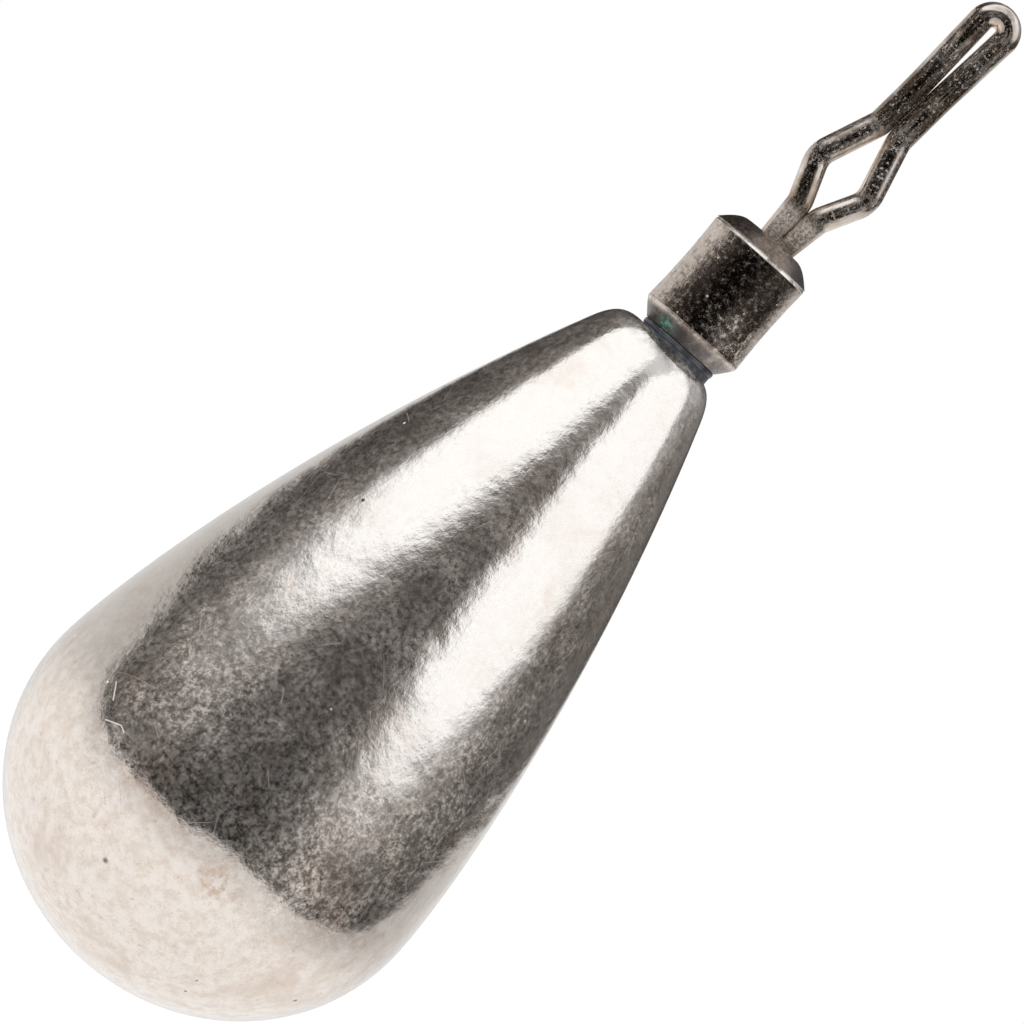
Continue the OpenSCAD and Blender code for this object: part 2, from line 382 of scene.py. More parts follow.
# %% [markdown]
# The clip is one piece of spring wire: two tails that end in feet inside the barrel, an eye shaped
# like a diamond, two legs that lie on each other and pinch the line, and a slot that opens towards
# a round top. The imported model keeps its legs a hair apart, and here the spring closes them, so the
# seam stays dark. The wire is swept as a wire bender works: a ring is extruded along each straight
# run and spun round the middle of each bend. The same path is written once for the right leg and
# walked backwards, mirrored, for the left.

# %% Path of the wire
wire_r = 0.28 * MM
tail_r = 0.225 * MM
touch_gap = 0.001 * MM
slot_w = 0.12 * MM
eye_reach = 0.735 * MM
foot_reach = 0.7975 * MM
tail_h = 0.985 * MM
eye_low_h = 1.0 * MM
eye_high_h = 1.4 * MM
closed_h = 1.2 * MM
slot_h = 3.1 * MM
foot_drop = 0.7603 * MM
leg_bend_r = 0.532 * MM
corner_bend_r = 0.588 * MM
neck_bend_r = 0.56 * MM
parting_bend_r = 5.04 * MM
tail_bend_r = 0.27 * MM
clip_lean = radians(1)

leg_x = wire_r + touch_gap / 2
tail_x = tail_r + touch_gap / 2
loop_r = wire_r + slot_w / 2
mouth_h = -eye_low_h - tail_h
foot_h = mouth_h - foot_drop
loop_h = eye_high_h + slot_h
parting_h = eye_high_h + closed_h
open_h = loop_h - parting_h
parting_away = sqrt(leg_x**2 + open_h**2)
loop_start = atan2(-open_h, leg_x) + acos(loop_r / parting_away)
right_leg = [
    (foot_reach, foot_h, 0, tail_r),
    (tail_x, foot_h, tail_bend_r, tail_r),
    (tail_x, mouth_h, neck_bend_r, tail_r),
    (leg_x, -eye_low_h, leg_bend_r, wire_r),
    (eye_reach, 0, corner_bend_r, wire_r),
    (leg_x, eye_high_h, leg_bend_r, wire_r),
    (leg_x, parting_h, parting_bend_r, wire_r),
    (loop_r * cos(loop_start), loop_h + loop_r * sin(loop_start), 0, wire_r),
]
left_leg = [(-x, z, bend_r, thick) for x, z, bend_r, thick in reversed(right_leg)]
print("wire path:", len(right_leg) + len(left_leg), "corners")

# %% [markdown]
# Each straight run is cut into short lengths, so that the wire has rings enough to be worked on.
# While the ring moves, the script notes how far along the wire it is. That gives every point of
# the finished mesh its place on the straight wire, before bending. The finish uses that place, so
# drawing marks follow the wire round every bend.

# %% Helpers: straight runs and bends of the wire
WIRE_SIDES = 48
RUN_STEP = 0.1 * MM
BEND_STEP = radians(6)


def lie(x, z):
    """A point of the upright clip, carried to where the leaning clip has it."""
    return x * across(clip_lean) + z * along(clip_lean)


rings = []


def note_ring(place, travelled):
    """Keeps a ring's middle and how far along the wire it lies."""
    rings.append((place.copy(), travelled))


def extrude_run(place, goal, thick, goal_thick, travelled):
    """Takes the ring straight to goal while its radius goes from thick to goal_thick."""
    way = goal - place
    count = max(1, round(way.length / RUN_STEP))
    for step in range(1, count + 1):
        bpy.ops.mesh.extrude_region_move(TRANSFORM_OT_translate={"value": way / count})
        ring = place + way * step / count
        before = thick + (goal_thick - thick) * (step - 1) / count
        after = thick + (goal_thick - thick) * step / count
        swell = after / before
        bpy.ops.transform.resize(value=(swell, swell, swell), center_override=ring)
        note_ring(ring, travelled + way.length * step / count)
    return travelled + way.length


def spin_bend(place, middle, sweep, travelled):
    """Turns the ring about middle by sweep, positive from X towards Z."""
    count = max(1, round(abs(sweep) / BEND_STEP))
    turn_axis = Vector((0, 1, 0)) if sweep > 0 else Vector((0, -1, 0))
    bpy.ops.mesh.spin(steps=count, angle=abs(sweep), center=middle, axis=turn_axis)
    arm = place - middle
    for step in range(1, count + 1):
        turn = sweep * step / count
        turned = Vector((
            arm.x * cos(turn) - arm.z * sin(turn),
            0,
            arm.x * sin(turn) + arm.z * cos(turn),
        ))
        note_ring(middle + turned, travelled + arm.length * abs(turn))
    return travelled + arm.length * abs(sweep)


print("the wire has", WIRE_SIDES, "sides")

# %% [markdown]
# A leg is walked corner by corner. Each bend starts a little before its corner, as far back as
# the bend's radius and angle ask for, and ends as far after it. The ring starts at the right foot,
# climbs the right leg, goes round the top and comes down the left leg. Both ends are then closed.

# %% Sweep the wire
wire_crease = 50


def sweep_leg(corners, place, travelled):
    """Moves the ring from place along all corners of one leg, rounding each with its bend."""
    for number in range(1, len(corners)):
        x, z, bend_r, goal_thick = corners[number]
        last_x, last_z, _, thick = corners[number - 1]
        corner = lie(x, z)
        way = (corner - lie(last_x, last_z)).normalized()
        if number == len(corners) - 1:
            travelled = extrude_run(place, corner, thick, goal_thick, travelled)
            return corner, travelled
        next_way = (lie(*corners[number + 1][:2]) - corner).normalized()
        turn = atan2(way.x * next_way.z - way.z * next_way.x, way.dot(next_way))
        cut_back = bend_r * tan(abs(turn) / 2)
        bend_start = corner - way * cut_back
        travelled = extrude_run(place, bend_start, thick, goal_thick, travelled)
        left = Vector((-way.z, 0, way.x))
        middle = bend_start + left * (bend_r if turn > 0 else -bend_r)
        travelled = spin_bend(bend_start, middle, turn, travelled)
        place = corner + next_way * cut_back
    return place, travelled


bpy.ops.object.select_all(action="DESELECT")
start = lie(foot_reach, foot_h)
first_way = lie(tail_x, foot_h) - start
ring_turn = (0, atan2(first_way.x, first_way.z), 0)
bpy.ops.mesh.primitive_circle_add(
    vertices=WIRE_SIDES, radius=tail_r, location=start, rotation=ring_turn
)
clip = bpy.context.object
clip.name = "clip"
bpy.ops.object.mode_set(mode="EDIT")
note_ring(start, 0.0)
place, travelled = sweep_leg(right_leg, start, 0.0)
travelled = spin_bend(place, lie(0, loop_h), pi - 2 * loop_start, travelled)
place, travelled = sweep_leg(left_leg, lie(*left_leg[0][:2]), travelled)
bpy.ops.mesh.select_all(action="SELECT")
bpy.ops.mesh.fill_holes(sides=0)
clean_up()
smooth(clip, wire_crease)
print("clip:", len(clip.data.polygons), "faces,", round(travelled / MM, 2), "mm of wire")

# %% [markdown]
# Every point of the wire now learns two things for the finish. Its place on the straight wire goes
# into one attribute, and how much it was rubbed or squeezed by the bending tool into another.

# %% Wire places and tool marks as attributes
def near(value, middle, reach):
    """1 at the middle and softly 0 at reach."""
    share = max(0.0, 1 - abs(value - middle) / reach)
    return share * share * (3 - 2 * share)


def wire_place(vertex):
    """The point of the straight wire that a vertex came from, in metres."""
    ring_middle, way_along = rings[vertex.index // WIRE_SIDES]
    off = vertex.co - ring_middle
    side = sqrt(max(0.0, off.length_squared - off.y**2))
    return (side, off.y, way_along)


MARK_HEIGHTS = (-eye_low_h, 0.0, eye_high_h)
MARK_REACH = 0.45 * MM


def tool_mark(vertex):
    """How much the bending tool rubbed this place: most at the bends of the eye."""
    return max(near(vertex.co.z, height, MARK_REACH) for height in MARK_HEIGHTS)


places = [wire_place(vertex) for vertex in clip.data.vertices]
marks = [tool_mark(vertex) for vertex in clip.data.vertices]
clip.data.attributes.new("wire_place", "FLOAT_VECTOR", "POINT")
clip.data.attributes.new("tool_mark", "FLOAT", "POINT")
for number, point in enumerate(clip.data.attributes["wire_place"].data):
    point.vector = places[number]
for number, point in enumerate(clip.data.attributes["tool_mark"].data):
    point.value = marks[number]
print("wire points with a place and a mark:", len(places))

# %% [markdown]
# A finish is a chain of small patterns: grain, stains, pits, scratches. Each pattern is a node or
# two, so a few helpers name them. These first ones add a node and fill its sockets, with a link
# where the value comes from another node, and with a plain number or colour where it doesn't.

# %% Helpers: colours and nodes
def tone(red, green, blue):
    """A colour as a paint program gives it, turned into the linear one that Blender wants."""
    def linear(value):
        share = value / 255
        return share / 12.92 if share <= 0.04045 else ((share + 0.055) / 1.055) ** 2.4
    return (linear(red), linear(green), linear(blue), 1)


def plug(tree, socket, value):
    """Fills one socket with a link or a plain value."""
    if isinstance(value, bpy.types.NodeSocket):
        tree.links.new(value, socket)
    else:
        socket.default_value = value


def put(tree, kind, choices=None, **sockets):
    """Adds a node, sets its choices, and fills its sockets with values or links."""
    made = tree.nodes.new("ShaderNode" + kind)
    for name, value in (choices or {}).items():
        setattr(made, name, value)
    for name, value in sockets.items():
        plug(tree, made.inputs[name.replace("_", " ")], value)
    return made


def count(tree, operation, *values):
    """A Math node over links or numbers."""
    made = put(tree, "Math", {"operation": operation})
    for socket, value in zip(made.inputs, values):
        plug(tree, socket, value)
    return made.outputs[0]


def vector(tree, operation, *values):
    """A Vector Math node; a dot product or a length comes out as a number."""
    made = put(tree, "VectorMath", {"operation": operation})
    for socket, value in zip(made.inputs, values):
        plug(tree, socket, value)
    return made.outputs[1 if operation in ("DOT_PRODUCT", "LENGTH") else 0]


print("a middle grey of 128 is", round(tone(128, 128, 128)[0], 3), "in linear light")

# %% [markdown]
# The next helpers are the sums that come up all the time: a product, the larger of some values, a
# value scaled and raised, a range carried to another range, and two colours or numbers mixed. The
# last two work with directions round the upright axis, in degrees. There 0 is the camera's side
# and +90 is towards +X. The curve's node works from 0 to 1, so a full turn of 360 degrees and
# heights from -90 to 90 are squeezed into that and stretched again.

# %% Helpers: sums
def times(tree, first, second):
    return count(tree, "MULTIPLY", first, second)


def larger(tree, first, *others):
    for other in others:
        first = count(tree, "MAXIMUM", first, other)
    return first


def scaled(tree, value, factor, raised):
    return count(tree, "MULTIPLY_ADD", value, factor, raised)


def fit(tree, value, low, high, to_low=0.0, to_high=1.0):
    """Carries low..high to to_low..to_high, with soft ends and clamped."""
    made = put(
        tree, "MapRange", {"interpolation_type": "SMOOTHSTEP"},
        Value=value, From_Min=low, From_Max=high, To_Min=to_low, To_Max=to_high,
    )
    return made.outputs[0]


def blend(tree, share, first, second):
    """The first colour where share is 0, the second where it is 1."""
    made = put(tree, "Mix", {"data_type": "RGBA"})
    for number, value in ((0, share), (6, first), (7, second)):
        plug(tree, made.inputs[number], value)
    return made.outputs[2]


def mix(tree, share, first, second):
    """The first number where share is 0, the second where it is 1."""
    made = put(tree, "Mix", {"data_type": "FLOAT"})
    for number, value in ((0, share), (2, first), (3, second)):
        plug(tree, made.inputs[number], value)
    return made.outputs[0]


def compass(tree, ways):
    """The direction of a vector's X and Y, in degrees."""
    towards_camera = times(tree, ways[1], -1.0)
    return count(tree, "DEGREES", count(tree, "ARCTAN2", ways[0], towards_camera))


def compass_curve(tree, turn, points):
    """Height or percentage for a direction in degrees, as a smooth curve through points."""
    made = put(tree, "FloatCurve", Value=scaled(tree, turn, 1 / 360, 0.5))
    line = made.mapping.curves[0]
    line.points[0].location = (0, points[0][1] / 180 + 0.5)
    line.points[1].location = (1, points[-1][1] / 180 + 0.5)
    for angle, height in points[1:-1]:
        line.points.new(angle / 360 + 0.5, height / 180 + 0.5)
    made.mapping.update()
    return scaled(tree, made.outputs[0], 180.0, -90.0)


print("sums ready for the finishes")

# %% [markdown]
# These are the patterns. All of them read the piece's own coordinates, turned into millimetres, so
# a scale of 8 means eight grains in a millimetre. A pattern's settings are written as one row:
# blobs in a millimetre, detail and roughness of the noise, then the low and the high value between
# which it is cut, and, where they aren't 0 and 1, what the cut gives at its two ends.

# %% Helpers: patterns
DOT_EDGE = 0.25
FIBRE_OUTER, FIBRE_INNER = 0.6, 0.3


def cloud(tree, place, scale, detail=2.0, rough=0.5, twist=0.0):
    """Soft noise with so many blobs in a millimetre."""
    made = put(
        tree, "TexNoise", Vector=place, Scale=scale, Detail=detail, Roughness=rough,
        Distortion=twist,
    )
    return made.outputs["Fac"]


def pattern(tree, place, row, twist=0.0):
    """Noise with the first three settings of a row, cut by the others."""
    return fit(tree, cloud(tree, place, *row[:3], twist), *row[3:])


def in_mm(tree, stretch=(1, 1, 1)):
    """The piece's own coordinates in millimetres."""
    own = put(tree, "TexCoord").outputs["Object"]
    scale = tuple(value / MM for value in stretch)
    return put(tree, "Mapping", Vector=own, Scale=scale).outputs[0]


def dots(tree, place, scale, radius, share):
    """Round specks of this radius: share of the cells hold one."""
    cell = put(tree, "TexVoronoi", Vector=place, Scale=scale)
    draw = put(tree, "SeparateColor", Color=cell.outputs["Color"]).outputs[0]
    size = times(tree, draw, radius * scale / share)
    grown = times(tree, size, count(tree, "LESS_THAN", draw, share))
    close = count(tree, "SUBTRACT", grown, cell.outputs["Distance"])
    return fit(tree, close, 0.0, DOT_EDGE * radius * scale)


def spot(tree, place, middle, reach):
    """1 at a place and softly 0 at reach millimetres from it."""
    away = vector(tree, "LENGTH", vector(tree, "SUBTRACT", place, middle))
    return fit(tree, away, 0.0, reach, 1.0, 0.0)


def strand(tree, start, end, width):
    """A thin straight fibre on the camera's side, between two points (x, z) in millimetres."""
    flat = in_mm(tree, stretch=(1, 0, 1))
    way = Vector((end[0] - start[0], 0, end[1] - start[1]))
    off = vector(tree, "SUBTRACT", flat, (start[0], 0, start[1]))
    share = vector(tree, "DOT_PRODUCT", off, way / way.length_squared)
    share = count(tree, "MINIMUM", larger(tree, share, 0.0), 1.0)
    along_x, along_z = times(tree, share, way.x), times(tree, share, way.z)
    nearest = put(tree, "CombineXYZ", X=along_x, Z=along_z).outputs[0]
    away = vector(tree, "LENGTH", vector(tree, "SUBTRACT", off, nearest))
    depth = put(tree, "SeparateXYZ", Vector=in_mm(tree)).outputs[1]
    front = count(tree, "LESS_THAN", depth, 0.0)
    return times(tree, front, fit(tree, away, FIBRE_OUTER * width, FIBRE_INNER * width))


print("patterns ready; a dot's soft edge takes", DOT_EDGE, "of its radius")

# %% [markdown]
# A hairline is a plane that cuts the surface. Space is divided into cells, some cells get a plane
# through their middle, turned at random, and the metal is scratched where it comes close to one.
# A little noise bends the planes, and each line fades before it reaches the border of its cell.

# %% Helper: hairlines
BEND_SCALE = 0.7
BEND_SHARE = 0.25
LINE_END, LINE_FULL = 0.5, 0.25


def scratches(tree, place, scale, width, share):
    """Hairlines: a share of the cells hold one, each turned its own way."""
    bent = cloud(tree, place, BEND_SCALE * scale, 1.0)
    wander = vector(tree, "SCALE", put(tree, "CombineXYZ", X=bent, Y=bent, Z=bent).outputs[0])
    wander.node.inputs["Scale"].default_value = BEND_SHARE / scale
    moved = vector(tree, "ADD", place, wander)
    cell = put(tree, "TexVoronoi", Vector=moved, Scale=scale)
    middle = vector(tree, "SUBTRACT", moved, cell.outputs["Position"])
    way = vector(tree, "SUBTRACT", cell.outputs["Color"], (0.5, 0.5, 0.5))
    way = vector(tree, "NORMALIZE", way)
    normal = put(tree, "NewGeometry").outputs["Normal"]
    facing = vector(tree, "DOT_PRODUCT", way, normal)
    slope = count(tree, "SQRT", count(tree, "SUBTRACT", 1.0, count(tree, "POWER", facing, 2.0)))
    off = count(tree, "ABSOLUTE", vector(tree, "DOT_PRODUCT", middle, way))
    line = fit(tree, count(tree, "DIVIDE", off, slope), width, 0.0)
    draw = put(tree, "SeparateColor", Color=cell.outputs["Color"]).outputs[2]
    end = fit(tree, cell.outputs["Distance"], LINE_END, LINE_FULL)
    held = times(tree, count(tree, "LESS_THAN", draw, share), end)
    return times(tree, line, held)


print("a hairline ends", LINE_END, "of a cell from its middle")

# %% [markdown]
# Last come the material itself and its relief. Old metal is partly bare and partly under a milky
# film of wear and lime, and the film is why dark reflections look speckled. One shader does both,
# because its Metallic socket says how much of the surface is bare.

# %% Helpers: material and relief
def finish(name):
    """A new material with an empty node tree."""
    made = bpy.data.materials.new(name)
    made.use_nodes = True
    made.node_tree.nodes.clear()
    return made, made.node_tree


def metal(tree, colour, roughness, normal, bare):
    """The shader: bare metal, and the rest of it under the film."""
    shader = put(
        tree, "BsdfPrincipled", Base_Color=colour, Metallic=bare, Roughness=roughness,
        Normal=normal,
    )
    put(tree, "OutputMaterial", Surface=shader.outputs[0])


def relief(tree, height, tall, under=None):
    """Bump of so many metres where height goes from 0 to 1."""
    made = put(tree, "Bump", Height=height, Distance=tall)
    if under is not None:
        tree.links.new(under, made.inputs["Normal"])
    return made.outputs[0]


print("materials before the finishes:", len(bpy.data.materials))

# %% [markdown]
# The weight is bare sintered metal, polished by tumbling and handling. Its colour is warm and
# mottled on the bulb and more silvery up the flanks, with tan freckles, brown pits, and grey
# mottles that darken the top of the neck. Mottling could be painted, but noise in the piece's own
# coordinates needs no painting and has no seam.

# %% Colour of the weight
CLEAN = tone(238, 230, 222)
WARM = tone(217, 201, 188)
SILVER = tone(233, 223, 213)
TAN = tone(190, 158, 132)
PIT = tone(110, 96, 84)
NECK = tone(112, 114, 112)
STAIN_ROW, STAIN_TWIST = (0.45, 4.0, 0.65, 0.5, 0.72), 0.4
MOTTLE_ROW = (3.5, 5.0, 0.75, 0.38, 0.68, 0.0, 0.8)
FRECKLE_ROW = (5.0, 4.0, 0.7, 0.6, 0.7, 0.0, 0.4)
NECK_ROW = (6.0, 5.0, 0.75, 0.4, 0.6)
SILVER_LOW, SILVER_HIGH, SILVER_SHARE = -19.5, -16.5, 0.4
MOTTLE_FADE, FRECKLE_FADE = -0.8, -0.7
TAN_AT, TAN_REACH = (1.0, -4.6, -19.95), 0.7
NECK_REACH = 0.55


def weight_colour(tree, place, pits):
    height = put(tree, "SeparateXYZ", Vector=place).outputs[2]
    flank = fit(tree, height, SILVER_LOW, SILVER_HIGH)
    mottle = pattern(tree, place, MOTTLE_ROW)
    mottle = times(tree, mottle, scaled(tree, flank, MOTTLE_FADE, 1.0))
    freckles = pattern(tree, place, FRECKLE_ROW)
    freckles = times(tree, freckles, scaled(tree, flank, FRECKLE_FADE, 1.0))
    colour = blend(tree, pattern(tree, place, STAIN_ROW, STAIN_TWIST), CLEAN, WARM)
    colour = blend(tree, times(tree, flank, SILVER_SHARE), colour, SILVER)
    colour = blend(tree, mottle, colour, WARM)
    colour = blend(tree, freckles, colour, TAN)
    tan_spot = times(tree, spot(tree, place, TAN_AT, TAN_REACH), mottle)
    colour = blend(tree, tan_spot, colour, TAN)
    colour = blend(tree, pits, colour, PIT)
    top = stud_at.z / MM
    neck = times(tree, fit(tree, height, top - NECK_REACH, top), pattern(tree, place, NECK_ROW))
    return blend(tree, neck, colour, NECK)


print("the neck darkens over the last", NECK_REACH, "mm")

# %% [markdown]
# The weight's film is speckled noise. A curve over the compass says how thick it is round the
# weight, because the real one is dull in two bands and nearly clean between them. Hairlines, dust
# and three short fibres that cling to the metal count as film too: they scatter light as it does.

# %% Film of the weight
FILM_PERCENT = (
    (-180, 7), (-60, 6), (-45, 9), (-37, 13), (-30, 16), (-22, 16), (-15, 10), (-8, 7.5), (0, 7),
    (8, 8), (15, 10), (22, 18), (30, 26), (37, 22), (45, 16), (60, 10), (180, 7),
)
PERCENT = 0.01
PATCH_ROW, PATCH_SWING, PATCH_LEAST = (1.2, 4.0, 0.6, 0.35, 0.7), 0.8, 0.6
SPECKLE_ROW = (7.5, 6.0, 0.84, 0.37, 0.68, 0.05, 2.8)
FINE_LINES, FINE_LINE_FILM = (1.3, 0.01, 0.35), 0.4
DUST, DUST_FILM = (1.6, 0.045, 0.2), 0.8
FIBRES = (
    ((-3.52, -18.39), (-3.30, -18.70)),
    ((-3.118, -19.098), (-2.80, -18.95)),
    ((-2.80, -18.95), (-2.66, -19.01)),
)
FIBRE_W, FIBRE_FILM = 0.03, 0.75


def weight_film(tree, place):
    off_axis = vector(tree, "SUBTRACT", place, weight_foot / MM)
    turn = compass(tree, put(tree, "SeparateXYZ", Vector=off_axis).outputs)
    film = times(tree, compass_curve(tree, turn, FILM_PERCENT), PERCENT)
    patches = pattern(tree, place, PATCH_ROW)
    film = times(tree, film, scaled(tree, patches, PATCH_SWING, PATCH_LEAST))
    film = times(tree, film, pattern(tree, place, SPECKLE_ROW))
    fine_lines = scratches(tree, place, *FINE_LINES)
    film = larger(tree, film, times(tree, fine_lines, FINE_LINE_FILM))
    film = larger(tree, film, times(tree, dots(tree, place, *DUST), DUST_FILM))
    for start, end in FIBRES:
        fibre = times(tree, strand(tree, start, end, FIBRE_W), FIBRE_FILM)
        film = larger(tree, film, fibre)
    return film


print("film:", len(FILM_PERCENT), "points round the weight,", len(FIBRES), "fibres")

# %% [markdown]
# Up close the weight is a mirror broken by grain: a tenth of a millimetre of satin here, of gloss
# there. Grain therefore drives the roughness. The relief is three bumps on each other: wide swells
# from tumbling, an orange peel a few thousandths of a millimetre tall, and pits.

# %% Finish of the weight
WEIGHT_GRAIN_ROW = (9.0, 3.0, 0.65, 0.35, 0.72)
WEIGHT_SATIN, WEIGHT_SATIN_SWING = 0.06, 0.12
WEIGHT_LINES, WEIGHT_LINE_SATIN = (0.55, 0.012, 0.35), 0.5
PITS = (1.1, 0.06, 0.3)
BROWN_PITS = ((0.53, -4.62, -19.76, 0.09), (-1.06, -3.99, -21.22, 0.11))
PIT_DEPTH = 0.01 * MM
SWELLS, SWELL_TALL = (0.7, 2.0), 0.03 * MM
PEEL, PEEL_TALL, PEEL_STRETCH = (6.0, 4.0, 0.65), 0.006 * MM, (1, 1, 0.75)
WEIGHT_BARE = 0.99


def weight_finish():
    made, tree = finish("weight_metal")
    place = in_mm(tree)
    pits = dots(tree, place, *PITS)
    for x, y, z, reach in BROWN_PITS:
        pits = larger(tree, pits, spot(tree, place, (x, y, z), reach))
    grain = pattern(tree, place, WEIGHT_GRAIN_ROW)
    satin = scaled(tree, grain, WEIGHT_SATIN_SWING, WEIGHT_SATIN)
    lines = scratches(tree, place, *WEIGHT_LINES)
    satin = larger(tree, satin, times(tree, lines, WEIGHT_LINE_SATIN))
    swells = relief(tree, cloud(tree, place, *SWELLS), SWELL_TALL)
    drawn_out = in_mm(tree, PEEL_STRETCH)
    peel = relief(tree, cloud(tree, drawn_out, *PEEL), PEEL_TALL, swells)
    bump = relief(tree, pits, -PIT_DEPTH, peel)
    bare = count(tree, "SUBTRACT", WEIGHT_BARE, weight_film(tree, place))
    metal(tree, weight_colour(tree, place, pits), satin, bump, bare)
    return made


print("brown pits placed by hand:", len(BROWN_PITS))

# %% [markdown]
# The barrel is brass under black nickel. The plating is brown-black and speckled. Each kind of wear,
# and each painted reflection, shade and highlight, is a mask of its own, worked out once and then
# used for colour and film: two strips of painted reflection at the sides, on the camera's half, a
# patch rubbed to satin beige at the lower right, the end dulled to slate where it was rolled in,
# which the finish paints darker towards its left as shade, green copper salts that crept out of the
# seam there, dirt on the dome, painted shade at the dome's two ends, and a painted highlight under
# the upper edge.

# %% Wear of the barrel
BARREL_WORN_ROW = (1.8, 5.0, 0.75, 0.4, 0.7, 0.0, 0.8)
BARREL_SPECKLE_ROW = (8.0, 6.0, 0.85, 0.48, 0.68)
# The noise that mottles the painted side reflections.
PAINTED_SHEEN_ROW = (4.0, 5.0, 0.75, 0.36, 0.52, 0.3, 1.0)
LEFT_STRIP, RIGHT_STRIP, FRONT_ONLY = (-0.5, -0.85), (0.84, 1.02), (0.3, 0.0)
PATCH_CLOUD_ROW = (4.0, 4.0, 0.7, 0.3, 0.7)
RUBBED_AT, RUBBED_REACH, RUBBED_GAIN = (0.8, -0.9, -4.15), 1.1, 1.6
BARREL_SPECKS = (5.0, 0.045, 0.5)
DULL_ROW, DULL_REACH = (4.0, 5.0, 0.7, 0.3, 0.6, 0.45, 1.0), 0.14
SALT_ROW = (8.0, 4.0, 0.7, 0.46, 0.6)
SALTS_AT, SALTS_REACH = (-0.5, -0.9, -4.87), 0.4
DIRT_CLOUD, DIRT_CUT = (8.0, 6.0, 0.85), (0.46, 0.6, 0.0, 0.9)
DIRT_FROM, DIRT_FULL = -0.02, 0.03
# Middle, cut and cloud of the painted shade at the dome's two ends.
DOME_MIDDLE, END_SHADE_CUT, END_SHADE_CLOUD = 0.12, (1.14, 1.5), 1.6
# Place, fade and noise of the painted highlight under the upper edge.
LINE_UNDER, LINE_OVER = (-0.085, -0.06), (0.015, -0.01)
LINE_LEFT, LINE_RIGHT = (-0.8, -0.4, 0.25, 1.0), (1.15, 0.85, 0.2, 1.0)
HIGHLIGHT_LINE_ROW = (2.5, 4.0, 0.7, 0.38, 0.54, 0.2, 1.0)


def barrel_wear(tree, place, ways):
    rise = vector(tree, "SUBTRACT", place, barrel_foot / MM)
    rise = vector(tree, "DOT_PRODUCT", rise, barrel_axis)
    low_edge = side_low / MM
    top_edge = side_high / MM
    wear = {"specks": dots(tree, place, *BARREL_SPECKS)}
    wear["speckle"] = pattern(tree, place, BARREL_SPECKLE_ROW)
    # Painted reflection: two strips at the left and right sides, on the camera's half only, made
    # lighter and filmed as the sides' reflections, mottled by noise.
    strips = larger(tree, fit(tree, ways[0], *LEFT_STRIP), fit(tree, ways[0], *RIGHT_STRIP))
    handled = times(tree, strips, fit(tree, ways[1], *FRONT_ONLY))
    wear["handled"] = times(tree, handled, pattern(tree, place, PAINTED_SHEEN_ROW))
    patch = times(tree, spot(tree, place, RUBBED_AT, RUBBED_REACH), RUBBED_GAIN)
    wear["patch"] = times(tree, patch, pattern(tree, place, PATCH_CLOUD_ROW))
    dulled = fit(tree, rise, low_edge, low_edge - DULL_REACH)
    wear["dulled"] = times(tree, dulled, pattern(tree, place, DULL_ROW))
    salts = spot(tree, place, SALTS_AT, SALTS_REACH)
    wear["salts"] = times(tree, salts, pattern(tree, place, SALT_ROW))
    dirt = cloud(tree, place, *DIRT_CLOUD)
    wear["dome"] = fit(tree, rise, top_edge + DIRT_FROM, top_edge + DIRT_FULL)
    wear["dirt"] = times(tree, wear["dome"], fit(tree, dirt, *DIRT_CUT))
    # Painted shade: the dome darkens towards its two ends, left and right of its middle as the camera
    # sees it, mottled by the dirt cloud.
    off_middle = count(tree, "ABSOLUTE", count(tree, "SUBTRACT", ways[0], DOME_MIDDLE))
    unworn = fit(tree, scaled(tree, dirt, END_SHADE_CLOUD, off_middle), *END_SHADE_CUT)
    wear["unworn"] = times(tree, wear["dome"], unworn)
    # Painted highlight: a bright line just under the upper edge, fading towards both sides and broken
    # by noise.
    line = fit(tree, rise, *(top_edge + off for off in LINE_UNDER))
    line = times(tree, line, fit(tree, rise, *(top_edge + off for off in LINE_OVER)))
    line = times(tree, line, fit(tree, ways[0], *LINE_LEFT))
    line = times(tree, line, fit(tree, ways[0], *LINE_RIGHT))
    wear["line"] = times(tree, line, pattern(tree, place, HIGHLIGHT_LINE_ROW))
    return wear


print("barrel wear: masks around", RUBBED_AT, "and", SALTS_AT)

# %% [markdown]
# The finish of the barrel lays these masks over the plating, from the widest to the smallest. Worn
# places and the painted side reflections are lighter and carry more film. The rolled end is rougher.

# %% Finish of the barrel
PLATED = tone(118, 104, 94)
DOME_DIRT = tone(126, 112, 102)
# Colour of the painted shade at the dome's two ends.
DOME_PAINTED_SHADE = tone(56, 46, 38)
# Colour of the painted highlight under the upper edge.
EDGE_PAINTED_HIGHLIGHT = tone(240, 234, 226)
# Beige of rubbed plating, also used to paint the side reflections.
RUBBED_AND_SHEEN = tone(218, 204, 192)
SEAM_SLATE = tone(96, 92, 92)
# Darker slate that paints shade on the left of the dulled end.
SEAM_PAINTED_SHADE = tone(44, 44, 46)
VERDIGRIS = tone(96, 176, 160)
SLATE_RIGHT, SLATE_LEFT, SLATE_SHARE = 0.7, -0.6, 0.9
BARREL_GRAIN_ROW = (11.0, 3.0, 0.7, 0.42, 0.75)
BARREL_SATIN, BARREL_SATIN_SWING, DULL_SATIN = 0.14, 0.2, 0.2
BARREL_LINES, BARREL_LINE_SATIN = (1.5, 0.01, 0.3), 0.4
BARREL_FILM, PATCH_FILM, PAINTED_SHEEN_FILM = 0.17, 0.6, 0.4
SPECK_FILM, HIGHLIGHT_LINE_FILM, DULL_FILM = 0.5, 0.75, 0.6
BARREL_SWELLS, BARREL_PEEL, BARREL_TALL = (2.0, 2.0), (5.0, 5.0, 0.75), 0.012 * MM


